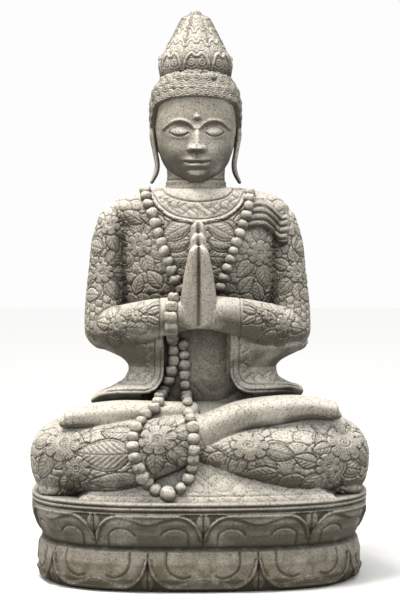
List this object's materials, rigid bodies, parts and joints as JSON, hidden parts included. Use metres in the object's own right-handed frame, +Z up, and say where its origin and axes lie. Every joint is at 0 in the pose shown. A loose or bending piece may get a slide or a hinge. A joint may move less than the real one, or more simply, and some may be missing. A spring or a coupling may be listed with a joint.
{
  "type": "seated buddha statue",
  "caption": "Carved stone garden statue of a seated buddha with palms together and a bead string, on a double lotus plinth.",
  "frame": {"origin": "on the ground, under the middle of the plinth", "axes": "+Z up, -Y is the front of the figure, +X to the viewer's right when facing the figure"},
  "size_m": [0.8876, 0.634, 1.5],
  "materials": {
    "stone": "carved grey granular stone, weathered, with dark dirt in the grooves"
  },
  "bodies": {
    "root": {"buddha_statue": "stone"}
  },
  "joints": []
}
